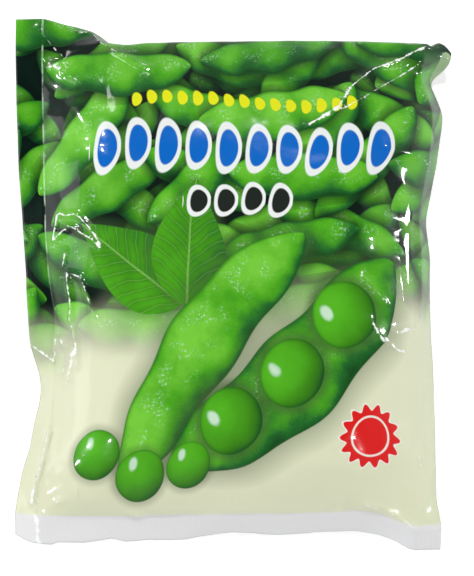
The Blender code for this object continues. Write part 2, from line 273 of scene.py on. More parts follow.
class PouchPrintSettings(bpy.types.PropertyGroup):
    """Colours of the print"""

    leaf_green: colour_setting("Green", "Lit side of the printed pods", (0.07, 0.38, 0.01))
    deep_green: colour_setting("Deep green", "Shaded side of the printed pods", (0.012, 0.13, 0.02))
    gap_grey: colour_setting("Gap grey", "Dark gaps between the printed pods", (0.002, 0.012, 0.008))
    cream: colour_setting("Cream", "Lower part of the print", (0.70, 0.74, 0.52))
    bean_blue: colour_setting("Blue", "Row of large beans", (0.0, 0.13, 0.55))
    bean_yellow: colour_setting("Yellow", "Row of small beans", (0.78, 0.80, 0.01))
    badge_red: colour_setting("Red", "Star badge", (0.72, 0.01, 0.012))


class PouchStageSettings(bpy.types.PropertyGroup):
    """The studio round the pouch"""

    floor_size: length_setting("Floor size", "Width of the floor", 4.0)
    camera_height: length_setting("Camera height", "Height of the camera over the floor", 0.75)
    view_height: length_setting("View height", "Length along Y that the picture takes in", 0.2218)
    light_power: bpy.props.FloatProperty(
        name="Light power", description="Power of a light with a full share", default=3.5, unit="POWER"
    )


# Shader nodes


def math_method(operation, swapped=False):
    """A method of Wire that puts it and the other term, if there is one, through a Math node."""
    if swapped:
        return lambda self, other: self.joined(operation, other, self)
    return lambda self, *other: self.joined(operation, self, *other)


class Wire:
    """A value in a node tree that plain arithmetic can be done with."""

    def __init__(self, tree, socket):
        self.tree = tree
        self.socket = socket

    def joined(self, operation, *terms, clamp=False):
        settings = {"operation": operation, "use_clamp": clamp}
        node = new_node(self.tree, "ShaderNodeMath", dict(enumerate(terms)), **settings)
        return Wire(self.tree, node.outputs[0])

    __add__ = math_method("ADD")
    __radd__ = math_method("ADD", swapped=True)
    __sub__ = math_method("SUBTRACT")
    __rsub__ = math_method("SUBTRACT", swapped=True)
    __mul__ = math_method("MULTIPLY")
    __rmul__ = math_method("MULTIPLY", swapped=True)
    __truediv__ = math_method("DIVIDE")
    __pow__ = math_method("POWER")
    abs = math_method("ABSOLUTE")
    sin = math_method("SINE")
    cos = math_method("COSINE")
    root = math_method("SQRT")
    floor = math_method("FLOOR")
    at_least = math_method("MAXIMUM")
    at_most = math_method("MINIMUM")

    def clamped(self):
        return self.joined("ADD", self, 0.0, clamp=True)

    def step(self, low, high):
        """0 at low and 1 at high, with a smooth change between them."""
        inputs = {"Value": self, "From Min": low, "From Max": high}
        node = new_node(self.tree, "ShaderNodeMapRange", inputs, interpolation_type="SMOOTHSTEP")
        return Wire(self.tree, node.outputs["Result"])


def feed(socket, term):
    """Links a Wire to a socket, or sets the socket to a number or an RGB triple."""
    if isinstance(term, Wire):
        term.tree.links.new(term.socket, socket)
    elif socket.type == "RGBA":
        socket.default_value = (*term, 1.0)
    else:
        socket.default_value = term


def new_node(tree, kind, inputs, **settings):
    """A node put into a tree, with its settings made and its inputs fed by their names or numbers."""
    node = tree.nodes.new(kind)
    for name, value in settings.items():
        setattr(node, name, value)
    feed_all(node, inputs)
    return node


def feed_all(node, inputs):
    for label, term in inputs.items():
        feed(node.inputs[label], term)


def scaled(colour, *factors):
    """A colour times one factor, or times one for each channel, up to 1."""
    return tuple(np.minimum(np.array(colour) * factors, 1.0))


def mixed(tree, share, low, high):
    """Two colours mixed by a share, each a Wire or an RGB triple."""
    node = new_node(tree, "ShaderNodeMix", {0: share, 6: low, 7: high}, data_type="RGBA")
    return Wire(tree, node.outputs[2])


def ramp(tree, value, *stops):
    """A colour that follows a value through stops of (place, RGB)."""
    node = new_node(tree, "ShaderNodeValToRGB", {0: value})
    band = node.color_ramp
    while len(band.elements) < len(stops):
        band.elements.new(1.0)
    for element, (place, colour) in zip(band.elements, stops):
        element.position = place
        element.color = (*colour, 1.0)
    return Wire(tree, node.outputs[0])


def joined_vector(tree, x, y, z=0.0):
    return Wire(tree, new_node(tree, "ShaderNodeCombineXYZ", {0: x, 1: y, 2: z}).outputs[0])


def split_vector(tree, vector):
    node = new_node(tree, "ShaderNodeSeparateXYZ", {0: vector})
    return [Wire(tree, socket) for socket in node.outputs]


def turned(x, y, angle):
    """The coordinates x and y as seen from axes that are turned by an angle."""
    if isinstance(angle, Wire):
        c, s = angle.cos(), angle.sin()
    else:
        c, s = math.cos(angle), math.sin(angle)
    return x * c + y * s, y * c - x * s


def noise(tree, vector, scale, detail, roughness=0.5):
    inputs = {"Vector": vector, "Scale": scale, "Detail": detail, "Roughness": roughness}
    return Wire(tree, new_node(tree, "ShaderNodeTexNoise", inputs).outputs["Fac"])


def white_noise(tree, vector):
    """Three random numbers from 0 to 1 for each value of a vector."""
    node = new_node(tree, "ShaderNodeTexWhiteNoise", {"Vector": vector}, noise_dimensions="3D")
    split = new_node(tree, "ShaderNodeSeparateColor", {0: Wire(tree, node.outputs["Color"])})
    return [Wire(tree, socket) for socket in split.outputs[:3]]


def group_start(name, **inputs):
    """A new node group and its input Wires by name.

    An input's default tells its kind: a number, an RGB triple, or None for a vector.
    """
    group = bpy.data.node_groups.new(name, "ShaderNodeTree")
    for label, default in inputs.items():
        kind = "Vector" if default is None else "Color" if isinstance(default, tuple) else "Float"
        socket = group.interface.new_socket(label, in_out="INPUT", socket_type="NodeSocket" + kind)
        if default is not None:
            socket.default_value = (*default, 1.0) if kind == "Color" else default
    entry = group.nodes.new("NodeGroupInput")
    return group, {label: Wire(group, entry.outputs[label]) for label in inputs}


def group_end(group, **results):
    """The node group with its outputs fed: a colour if it is named Colour, else a number."""
    for label in results:
        kind = "Color" if label == "Colour" else "Float"
        group.interface.new_socket(label, in_out="OUTPUT", socket_type="NodeSocket" + kind)
    leave = group.nodes.new("NodeGroupOutput")
    feed_all(leave, results)
    return group


def placed(tree, group, **values):
    """A node group put into a tree, with its inputs fed. Returns its output Wires by name."""
    node = tree.nodes.new("ShaderNodeGroup")
    node.node_tree = group
    feed_all(node, values)
    return {socket.name: Wire(tree, socket) for socket in node.outputs}


def covered(distance, sharpness=3.0):
    """1 inside a printed edge and 0 outside it, from the distance in millimetres past the edge."""
    return (distance * -sharpness + 0.5).clamped()


def pod_group(colours):
    """A printed pod: its cover and colour from a place along and across it."""
    tree, w = group_start(
        "printed_pod",
        Along=0.0, Across=0.0, Length=60.0, Width=18.0, Bend=0.0, Lobes=9.5,
        Tint=0.5, Sun=0.6, Cloud=0.5, Grain=0.5, Frost=0.0,
    )
    u = w["Along"] * 2.0 / w["Length"]
    across = w["Across"] - w["Bend"] * (0.45 - u * u)
    taper = (1.0 - u.abs() ** 2.6).at_least(0.0) ** 0.6
    lobe = (u * w["Lobes"]).cos()
    half = (w["Width"] * 0.5 * taper * (0.93 + lobe * 0.07)).at_least(0.01)
    v = across / half
    outside = across.abs() - half
    inside_ends = (u.abs() * -1.0 + 1.0) * 1000.0
    cover = covered(outside, EDGE_SHARPNESS) * inside_ends.clamped()
    near = (1.0 - outside / (w["Width"] * 0.28)).clamped() * u.abs().step(1.12, 0.96)
    dome = (1.0 - v * v).at_least(0.0).root()
    lit = dome * 0.55 + v * 0.5 * w["Sun"] + lobe * dome * 0.16 + 0.12
    lit = lit + (w["Cloud"] - 0.5) * 0.7 + (w["Grain"] - 0.5) * 0.22 + (w["Tint"] - 0.5) * 0.4
    green = colours.leaf_green
    bright = tuple(c + lift for c, lift in zip(scaled(green, 2.3, 1.55, 2.4), (0.02, 0.0, 0.02)))
    stops = (0.0, scaled(colours.deep_green, 0.45)), (0.26, colours.deep_green), (0.60, green), (0.98, bright)
    colour = ramp(tree, lit, *stops)
    ridge = (v - 0.25).abs().step(0.75, 0.1)
    colour = mixed(tree, w["Frost"] * ridge * 0.75, colour, (0.62, 0.88, 0.66))
    rim = v.abs().step(0.86, 1.0)
    colour = mixed(tree, rim * 0.55, colour, scaled(colours.deep_green, 0.7))
    return group_end(tree, Cover=cover, Near=near, Colour=colour)


def bean_group(colours):
    """A printed shelled bean round the place where X and Y are zero."""
    tree, w = group_start("printed_bean", X=0.0, Y=0.0, Width=20.0, Height=23.0, Tint=0.5, Cloud=0.5)
    x, y = w["X"] * 2.0 / w["Width"], w["Y"] * 2.0 / w["Height"]
    radius = (x * x + y * y).root()
    cover = ((1.0 - radius) * w["Width"] * 1.3).clamped()
    near = radius.step(1.35, 0.98)
    dome = (1.0 - radius * radius).at_least(0.0).root()
    lit = dome * 0.50 + y * 0.28 - x * 0.16 + (w["Cloud"] - 0.5) * 0.3 + 0.16 + (w["Tint"] - 0.5) * 0.15
    green = colours.leaf_green
    stops = (0.0, scaled(colours.deep_green, 0.6)), (0.3, scaled(green, 0.55)), (0.62, green)
    colour = ramp(tree, lit, *stops, (1.0, scaled(green, 1.7, 1.5, 2.0)))
    glint_x, glint_y = (x + 0.36) * 1.5, y - 0.42
    glint = (glint_x * glint_x + glint_y * glint_y + (w["Cloud"] - 0.5) * 0.16).step(0.090, 0.01)
    colour = mixed(tree, glint * 0.75, colour, (0.72, 0.88, 0.76))
    rim = radius.step(0.88, 1.0)
    colour = mixed(tree, rim * 0.5, colour, scaled(colours.deep_green, 0.6))
    return group_end(tree, Cover=cover, Near=near, Colour=colour)


def leaf_group(colours):
    """A printed leaf with a midrib and side veins."""
    tree, w = group_start("printed_leaf", Along=0.0, Across=0.0, Length=50.0, Width=28.0)
    u = (w["Along"] / w["Length"] + 0.5).clamped()
    half = (((u ** 0.72) * math.pi).sin() * w["Width"] * 0.5).at_least(0.01)
    away = w["Across"].abs()
    outside = away - half
    ends = ((w["Along"].abs() * -2.0 / w["Length"] + 1.0) * 60.0).clamped()
    cover = covered(outside, EDGE_SHARPNESS) * ends
    near = (1.0 - outside / 5.0).clamped() * ends
    place = joined_vector(tree, w["Along"], w["Across"])
    wander = (noise(tree, place, 0.12, 1.0) - 0.5) * 4.0
    vein_wave = ((w["Along"] - away * (1.15 - away * 0.028) + wander) * 1.25).sin()
    vein = vein_wave.step(0.92, 1.0)
    midrib = away.step(0.85 - u * 0.5, 0.15)
    lit = noise(tree, place, 0.1, 3.0) * 0.7 + (w["Across"] / w["Width"]) * 0.35 + 0.12 - vein_wave * 0.07
    green = colours.leaf_green
    stops = (0.1, colours.deep_green), (0.5, scaled(green, 0.72)), (0.95, scaled(green, 1.25))
    colour = ramp(tree, lit, *stops)
    colour = mixed(tree, (vein * 0.26 + midrib * 0.6).clamped(), colour, (0.26, 0.52, 0.12))
    return group_end(tree, Cover=cover, Near=near, Colour=colour)


def heap_group(colours, pod):
    """One layer of a heap of printed pods, laid over the colour below it."""
    tree, w = group_start(
        "printed_heap_layer",
        Place=None, Below=(0.0, 0.0, 0.0), Angle=0.0, Row=26.0, Cell=66.0, Seed=0.0,
        Depth=0.0, Share=0.75, Cloud=0.5, Grain=0.5, Frost=0.0,
    )
    x, y, _ = split_vector(tree, w["Place"])
    x, y = turned(x, y, w["Angle"])
    row_shift = w["Seed"] * 0.37
    row = (y / w["Row"] + row_shift).floor()
    shift = white_noise(tree, joined_vector(tree, row, w["Seed"], 3.0))[0] * w["Cell"]
    column = ((x + shift) / w["Cell"]).floor()
    draws = white_noise(tree, joined_vector(tree, column, row, w["Seed"]))
    local_x = x + shift - (column + 0.5) * w["Cell"]
    local_y = y - (row + 0.5 - row_shift) * w["Row"] + (draws[1] - 0.5) * w["Row"] * 0.12
    local_x, local_y = turned(local_x, local_y, (draws[0] - 0.5) * 0.3)
    size = {"Length": w["Cell"] * 0.94, "Width": w["Row"] * (0.68 + draws[2] * 0.12)}
    shape = {"Bend": (draws[1] - 0.5) * 7.0, "Lobes": 8.6 + draws[0] * 2.0}
    skin = {label: w[label] for label in ("Cloud", "Grain", "Frost")}
    result = placed(
        tree, pod, Along=local_x, Across=local_y, Tint=draws[2], Sun=0.6, **size, **shape, **skin
    )
    present = ((w["Share"] - draws[1]) * 1000.0).clamped()
    below = mixed(tree, result["Near"] * present * 0.75, w["Below"], scaled(colours.gap_grey, 0.5))
    colour = mixed(tree, w["Depth"], result["Colour"], colours.gap_grey)
    return group_end(tree, Colour=mixed(tree, result["Cover"] * present, below, colour))


def film_place(tree):
    """The place on the flat film in millimetres, from its body's lower left corner."""
    metres = Wire(tree, new_node(tree, "ShaderNodeUVMap", {}, uv_map="film").outputs[0])
    inputs = {0: metres, "Scale": 1000.0}
    return Wire(tree, new_node(tree, "ShaderNodeVectorMath", inputs, operation="SCALE").outputs[0])


def sealed_share(x, y):
    """1 in the welded bands and 0 between them, from a place on the flat film in millimetres."""
    sealed = []
    for place, length in ((x, BODY_WIDTH), (y, BODY_HEIGHT)):
        weld = length * 500
        sealed.append((place - weld).abs().step(weld - 0.3, weld + 0.3))
    return sealed[0].at_least(sealed[1])


def skin_detail(tree, place):
    """The uneven tone, grain and frost that all printed pods share."""
    frost = noise(tree, place, 0.85, 3.0, 0.7).step(0.50, 0.70)
    patch = noise(tree, place, 0.12, 1.0).step(0.48, 0.62)
    return {
        "Cloud": noise(tree, place, 0.10, 2.0),
        "Grain": noise(tree, place, 1.1, 3.0, 0.65),
        "Frost": frost * patch,
    }


def heap_of_pods(tree, place, colours, heap, skin):
    """Several layers of pods over dark gaps."""
    murk = noise(tree, place, 0.05, 2.0)
    colour = mixed(tree, murk, scaled(colours.gap_grey, 0.5), scaled(colours.gap_grey, 1.5))
    names = ("Angle", "Row", "Cell", "Seed", "Depth", "Share")
    for layer in HEAP_LAYERS:
        result = placed(tree, heap, Place=place, Below=colour, **dict(zip(names, layer)), **skin)
        colour = result["Colour"]
    return colour


def motif(tree, colour, result, shade=0.5):
    """A printed motif laid over a colour with a soft shadow round it."""
    colour = mixed(tree, result["Near"] * shade, colour, (0.05, 0.10, 0.03))
    return mixed(tree, result["Cover"], colour, result["Colour"])


def foreground(tree, colour, x, y, groups, skin):
    """Leaves, two large pods and loose beans in the lower middle of the front."""
    for (centre_x, centre_y), angle, length, width in LEAVES:
        along, across = turned(x - centre_x, y - centre_y, angle)
        result = placed(tree, groups["leaf"], Along=along, Across=across, Length=length, Width=width)
        colour = motif(tree, colour, result, 0.4)
    names = ("Length", "Width", "Bend", "Lobes", "Tint", "Sun")
    for (centre_x, centre_y), angle, *looks in LARGE_PODS:
        along, across = turned(x - centre_x, y - centre_y, angle)
        result = placed(tree, groups["pod"], Along=along, Across=across, **dict(zip(names, looks)), **skin)
        colour = motif(tree, colour, result)
    beans = [
        (along - step, across - 1.0 + lift, 27.5 - abs(step) * 0.05, 26.5, 0.5 + step * 0.01, 0.65)
        for step, lift in POD_BEANS
    ]
    beans += [
        (x - centre_x, y - centre_y, size, size * 1.08, tint, 0.35)
        for (centre_x, centre_y), size, tint in LOOSE_BEANS
    ]
    names = ("X", "Y", "Width", "Height", "Tint")
    for *looks, shade in beans:
        result = placed(tree, groups["bean"], **dict(zip(names, looks)), Cloud=skin["Cloud"])
        colour = motif(tree, colour, result, shade)
    return colour


def rounded_box(x, y, centre, half_width, half_height, radius):
    """Distance outside a box with round corners, negative inside it."""
    dx = (x - centre[0]).abs() - (half_width - radius)
    dy = (y - centre[1]).abs() - (half_height - radius)
    out_x, out_y = dx.at_least(0.0), dy.at_least(0.0)
    return (out_x * out_x + out_y * out_y).root() + dx.at_least(dy).at_most(0.0) - radius


def inked(tree, colour, distance, ink):
    """A printed area, where the distance is negative."""
    return mixed(tree, covered(distance), colour, ink)


def row_of_beans(tree, x, y, centre, count, pitch, half_width, half_height, seed):
    """Distance outside a row of upright bean shapes, each tipped and sized a little differently."""
    place = (x - centre[0]) / pitch + count * 0.5
    cell = place.floor()
    tip, size, lift = white_noise(tree, joined_vector(tree, cell, seed, 1.0))
    across = (place - cell - 0.5) * pitch
    up = y - centre[1] - (lift - 0.5) * half_height * 0.25
    across, up = turned(across, up, (tip - 0.5) * 0.3)
    across = across - (1.0 - (up / half_height) ** 2.0) * half_width * 0.22
    wide, high = across / half_width, up / (half_height * (0.86 + size * 0.16))
    outside = ((wide * wide + high * high).root() - 1.0) * half_width
    past_ends = ((x - centre[0]).abs() - count * pitch * 0.5) * 4.0
    return outside.at_least(past_ends)


def front_emblems(tree, colour, x, y, colours):
    """The blue, yellow and dark rows of beans and the red star badge of the front."""
    waved_y = y - ((x - 20.0) * 0.055).sin() * 2.2
    for row_y, layout, rim, ink in (
        (waved_y, BLUE_ROW, (1.5, (0.82, 0.86, 0.84)), colours.bean_blue),
        (waved_y, YELLOW_ROW, None, colours.bean_yellow),
        (y, DARK_ROW, (1.4, (0.84, 0.87, 0.85)), (0.012, 0.016, 0.014)),
    ):
        row = row_of_beans(tree, x, row_y, *layout)
        if rim:
            width, rim_ink = rim
            colour = inked(tree, colour, row - width, rim_ink)
        colour = inked(tree, colour, row, ink)
    badge_x, badge_y = x - BADGE_CENTRE[0], y - BADGE_CENTRE[1]
    points = (badge_y.joined("ARCTAN2", badge_y, badge_x) * BADGE_POINTS).cos()
    reach = (badge_x * badge_x + badge_y * badge_y).root()
    badge = reach - BADGE_RADIUS - points * 1.3
    colour = inked(tree, colour, badge - 0.7, (0.86, 0.84, 0.76))
    colour = inked(tree, colour, badge, colours.badge_red)
    ring = (reach - BADGE_RING).abs() - 0.4
    return inked(tree, colour, ring, (0.86, 0.80, 0.72))


def front_print(tree, place, x, y, colours, groups):
    """The front's colours: a heap of pods over cream, motifs, seal bands, a painted reflection on the turned
    band, a painted highlight along the weld, and crests painted white, partly as stress whitening and partly
    as a highlight.
    """
    skin = skin_detail(tree, place)
    heap = heap_of_pods(tree, place, colours, groups["heap"], skin)
    wobble = (noise(tree, place, 0.03, 1.0) - 0.5) * 34.0
    fade = (y - x * 0.13 + wobble).step(86.0, 54.0)
    tone = noise(tree, place, 0.02, 1.0)
    cream = mixed(tree, tone, colours.cream, scaled(colours.cream, 1.14, 1.08, 1.12))
    colour = mixed(tree, fade, heap, cream)
    colour = foreground(tree, colour, x, y, groups, skin)
    colour = front_emblems(tree, colour, x, y, colours)
    colour = mixed(tree, (1.0 - sealed_share(x, y)) * 0.006, colour, (0.55, 0.80, 0.50))
    # The loose corner, a painted reflection on the turned band, a painted highlight along the weld and the
    # unprinted band
    corner = x.step(150.0, 156.0) * y.step(180.0, 185.0)
    colour = mixed(tree, corner * 0.85, colour, (0.035, 0.045, 0.05))
    # Painted reflection: a pale veil at the right weld, where the band turns down
    turned_band_reflection = x.step(154.6, 156.5) * y.step(20.0, 60.0) * (1.0 - corner)
    colour = mixed(tree, turned_band_reflection * 0.16, colour, (0.62, 0.80, 0.60))
    # Painted highlight: a broken pale line along the left weld, where the film bends up
    broken = noise(tree, place, 0.16, 2.0).step(0.36, 0.60)
    weld_highlight = x.abs().step(0.5, 0.12) * y.step(80.0, 115.0) * broken
    colour = mixed(tree, weld_highlight * 0.55, colour, (0.72, 0.92, 0.70))
    colour = mixed(tree, y.step(1.5, 0.2), colour, UNPRINTED)
    # Crests painted white along the creases: partly stress whitening, partly a painted highlight
    attribute = new_node(tree, "ShaderNodeAttribute", {}, attribute_name="crease_wear_and_highlight")
    wear_and_highlight = Wire(tree, attribute.outputs["Fac"])
    uneven = (noise(tree, place, 0.4, 3.0, 0.6) - 0.62) * 1.9
    worn_and_highlit = (wear_and_highlight + uneven).step(0.42, 0.74) * wear_and_highlight.step(0.15, 0.40)
    return mixed(tree, worn_and_highlit, colour, (0.95, 0.97, 0.94))


def back_print(tree, place, x, y, colours):
    """The back's colours: plain panels and a band over cream that turns green towards the top."""
    tone = noise(tree, place, 0.02, 2.0)
    green = scaled(colours.leaf_green, 0.8)
    colour = mixed(tree, y.step(40.0, 190.0), colours.cream, (0.30, 0.46, 0.25))
    colour = mixed(tree, tone * 0.25, colour, (0.80, 0.84, 0.62))
    for centre, half_width, half_height in BACK_PANELS:
        panel = rounded_box(x, y, centre, half_width, half_height, radius=3.0)
        colour = inked(tree, colour, panel - 0.6, green)
        colour = inked(tree, colour, panel, (0.86, 0.87, 0.82))
    band = rounded_box(x, y, (77.5, 140.0), 60.0, 8.0, radius=8.0)
    colour = inked(tree, colour, band, green)
    return mixed(tree, y.step(1.6, 1.0), colour, UNPRINTED)


def film_bump(tree, place, x, sealed):
    """Fine crinkles of the film and the ribs that the sealing jaws leave."""
    fine = noise(tree, place, 0.22, 4.0, 0.6)
    rib = (x * 3.0).sin() * sealed
    inputs = {"Strength": 0.35, "Distance": 0.0004, "Height": fine + rib * 0.06}
    return Wire(tree, new_node(tree, "ShaderNodeBump", inputs).outputs[0])


def new_material(name):
    material = bpy.data.materials.new(name)
    material.use_nodes = True
    return material, material.node_tree, material.node_tree.nodes["Principled BSDF"]


def film_material(name, printed, *settings):
    """Glossy film, whose colours come from a function of the place on the flat film."""
    material, tree, shader = new_material(name)
    place = film_place(tree)
    x, y, _ = split_vector(tree, place)
    inputs = {
        "Base Color": printed(tree, place, x, y, *settings),
        "Metallic": 0.0,
        "Roughness": noise(tree, place, 0.07, 2.0) * 0.12 + 0.16,
        "IOR": 1.5,
        "Specular IOR Level": 0.12,
        "Coat Weight": 0.6,
        "Coat Roughness": 0.06,
        "Normal": film_bump(tree, place, x, sealed_share(x, y)),
    }
    feed_all(shader, inputs)
    return material


# The film's shape


def along_seam(stations, at):
    """Offset and height in metres and droop in radians of a seam at an array of places in metres."""
    table = np.array(stations, dtype=float)
    fine = np.linspace(table[0, 0], table[-1, 0], 600)
    step = fine[1] - fine[0]
    reach = max(1, int(SEAM_SMOOTHING / step))
    window = np.hanning(2 * reach + 3)
    window /= window.sum()
    results = []
    for column, unit in ((1, 1e-3), (2, 1e-3), (3, math.pi / 180)):
        values = np.interp(fine, table[:, 0], table[:, column])
        padded = np.pad(values, reach + 1, mode="reflect", reflect_type="odd")
        smooth = np.convolve(padded, window, mode="valid")
        results.append(np.interp(at * 1e3, fine, smooth) * unit)
    return results


def share_of_seam(stations, share):
    first, last = stations[0][0] * 1e-3, stations[-1][0] * 1e-3
    return along_seam(stations, first + (last - first) * share)


def rise(distance, reach):
    """How full the pouch is at a distance from a weld, from 0 at the weld to 1 at the reach."""
    return 1.0 - np.clip(1.0 - distance / reach, 0.0, 1.0) ** SLOPE_POWER


def band_step(distance, droop, radius, start):
    """How far a seal band reaches out and down at a distance from its welded edge.

    The band leaves its weld at the start angle, and bends until it reaches the droop angle.
    """
    radius = radius * 1e-3
    start = np.minimum(math.radians(start), droop)
    bend = np.minimum(distance, radius * (droop - start))
    straight = distance - bend
    angle = start + bend / radius
    out = radius * (np.sin(angle) - np.sin(start)) + straight * np.cos(droop)
    down = radius * (np.cos(start) - np.cos(angle)) + straight * np.sin(droop)
    return out, down


def film_surface(s, t, settings, front):
    """Places of the flat film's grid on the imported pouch, with how full the pouch is at each."""
    across, up = np.clip(s / BODY_WIDTH, 0, 1), np.clip(t / BODY_HEIGHT, 0, 1)
    left, right = share_of_seam(LEFT_SEAM, up), share_of_seam(RIGHT_SEAM, up)
    bottom, top = share_of_seam(BOTTOM_SEAM, across), share_of_seam(TOP_SEAM, across)
    x = left[0] + (right[0] - left[0]) * across
    y = bottom[0] + (top[0] - bottom[0]) * up
    low = (BOTTOM_SEAM[0][2] + (BOTTOM_SEAM[-1][2] - BOTTOM_SEAM[0][2]) * across) * 1e-3
    high = (TOP_SEAM[0][2] + (TOP_SEAM[-1][2] - TOP_SEAM[0][2]) * across) * 1e-3
    seam = left[1] + (right[1] - left[1]) * across + bottom[1] + (top[1] - bottom[1]) * up
    seam = seam - (low + (high - low) * up)
    width, height = across * BODY_WIDTH, up * BODY_HEIGHT
    full = rise(width, SIDE_SLOPE) * rise(BODY_WIDTH - width, SIDE_SLOPE)
    full = full * rise(height, BOTTOM_SLOPE) * rise(BODY_HEIGHT - height, TOP_SLOPE)
    if front:
        crown = settings.crown * np.sin(math.pi * across) * np.sin(math.pi * up)
        z = seam + full * (settings.bulge + crown)
    else:
        z = SOLID_HALF_STACK + (seam - SOLID_HALF_STACK) * (1.0 - full)
    past_left, past_right = np.clip(-s, 0, None), np.clip(s - BODY_WIDTH, 0, None)
    past_bottom, past_top = np.clip(-t, 0, None), np.clip(t - BODY_HEIGHT, 0, None)
    for past, droop, sign, start in (
        (past_left, left[2], -1, 0.0),
        (past_right, right[2], 1, RIGHT_FOLD_START),
    ):
        out, down = band_step(past, droop, SIDE_FOLD_RADIUS, start)
        x, z = x + sign * out, z - down
    for past, droop, sign, radius, start in (
        (past_bottom, bottom[2], -1, SIDE_FOLD_RADIUS, 0.0),
        (past_top, top[2], 1, TOP_FOLD_RADIUS, TOP_FOLD_START),
    ):
        out, down = band_step(past, droop, radius, start)
        y, z = y + sign * out, z - down
    x = x - EAR_CHAMFER * past_top * past_right / SIDE_SEAL
    near_top = np.clip((t - BODY_HEIGHT) / EAR_REACH + 1.0, 0, 1)
    y = y - near_top * np.interp(past_right * 1e3, *zip(*EAR_EDGE)) * 1e-3
    y = y + CORNER_LIFT * past_bottom / BOTTOM_SEAL * (past_left / SIDE_SEAL) ** 2
    y = y - np.interp(s * 1e3, *zip(*BOTTOM_EDGE)) * 1e-3 * past_bottom / BOTTOM_SEAL
    return np.stack([x - OUTLINE_MIDDLE[0], y - OUTLINE_MIDDLE[1], z], axis=-1), full


def grid_normals(points):
    along = np.gradient(points, axis=1)
    up = np.gradient(points, axis=0)
    normals = np.cross(along, up)
    return normals / np.linalg.norm(normals, axis=-1, keepdims=True)


def to_route(x, y, route):
    """Steps in x and y from each place to the nearest place of a route of points in millimetres."""
    best_x, best_y = np.full(x.shape, 1.0), np.full(x.shape, 1.0)
    for (ax, ay), (bx, by) in zip(route, route[1:]):
        ax, ay, bx, by = ax * 1e-3, ay * 1e-3, bx * 1e-3, by * 1e-3
        run = (bx - ax) ** 2 + (by - ay) ** 2
        share = np.clip(((x - ax) * (bx - ax) + (y - ay) * (by - ay)) / run, 0, 1)
        step_x, step_y = ax + share * (bx - ax) - x, ay + share * (by - ay) - y
        nearer = np.hypot(step_x, step_y) < np.hypot(best_x, best_y)
        best_x, best_y = np.where(nearer, step_x, best_x), np.where(nearer, step_y, best_y)
    return best_x, best_y


def crease_relief(x, y):
    """The tallest crease at each place, so that creases that meet don't add up."""
    relief = np.zeros(x.shape)
    for height, spread, _, route in CREASES:
        distance = np.hypot(*to_route(x, y, route))
        relief = np.maximum(relief, height * 1e-3 * np.exp(-distance / (spread * 1e-3)))
    return relief


def crease_wear_and_highlight(x, y):
    """How white the crests of the creases are painted, from 0 to 1, partly as stress whitening and partly as
    a painted highlight.
    """
    wear_and_highlight = np.zeros(x.shape)
    for _, spread, whiteness, route in CREASES:
        distance = np.hypot(*to_route(x, y, route))
        width = max(WEAR_AND_HIGHLIGHT_WIDTH, spread * 0.5) * 1e-3
        wear_and_highlight = np.maximum(wear_and_highlight, whiteness * (1.0 - distance / width))
    return wear_and_highlight


def drawn_to_creases(s, t, settings):
    """The film's grid with its nearest points moved onto the creases, so that each has a sharp crest."""
    points, _ = film_surface(s, t, settings, True)
    x, y = points[..., 0], points[..., 1]
    reach = settings.spacing * 0.6
    move_x, move_y = np.zeros(x.shape), np.zeros(x.shape)
    for *_, route in CREASES:
        step_x, step_y = to_route(x + move_x, y + move_y, route)
        near = (np.hypot(step_x, step_y) < reach) & (move_x == 0.0) & (move_y == 0.0)
        move_x, move_y = np.where(near, step_x, move_x), np.where(near, step_y, move_y)
    stretch_x = np.gradient(s, axis=1) / np.gradient(x, axis=1)
    stretch_y = np.gradient(t, axis=0) / np.gradient(y, axis=0)
    return s + move_x * np.clip(stretch_x, 0.5, 1.5), t + move_y * np.clip(stretch_y, 0.5, 1.5)


def zigzag(place, pitch, rng):
    """Straight folds between random heights from -1 to 1 at about one pitch from each other."""
    low, high = place.min() - pitch, place.max() + pitch
    knots = np.arange(low, high + pitch, pitch)
    shifts = rng.uniform(-0.35, 0.35, int((high - low) / pitch) + 2)
    knots = knots + shifts[: len(knots)] * pitch
    return np.interp(place, knots, rng.uniform(-1, 1, len(knots)))


def smooth_waves(s, t, rng, count, shortest, longest):
    """A smooth random surface from -1 to 1 made of waves in random directions."""
    total = np.zeros(np.broadcast(s, t).shape)
    for _ in range(count):
        angle, phase = rng.uniform(0, math.pi), rng.uniform(0, 2 * math.pi)
        length = rng.uniform(shortest, longest)
        total += np.sin((s * math.cos(angle) + t * math.sin(angle)) * 2 * math.pi / length + phase)
    return total / math.sqrt(count)


def pucker_relief(s, t, rng):
    """Folds that run into the body from all four seals, from -1 to 1 or so."""
    relief = np.zeros(np.broadcast(s, t).shape)
    wobble = smooth_waves(s, t, rng, 6, 0.02, 0.05) * 0.0016
    sides = (
        (s, t, 1.0),
        (BODY_WIDTH - s, t, 0.8),
        (t, s, 0.6),
        (BODY_HEIGHT - t, s, 0.45),
    )
    for inward, place, strength in sides:
        inside = np.clip(inward, 0, None)
        patchy = 0.6 + 0.4 * smooth_waves(place, place * 0, rng, 3, 0.03, 0.07)
        for reach, pitch, sway, height in PUCKERS:
            band = np.exp(-inside / reach) * (1 - np.exp(-inside / (reach / 4)))
            relief += strength * patchy * band * zigzag(place + wobble * sway, pitch, rng) * height
    return relief


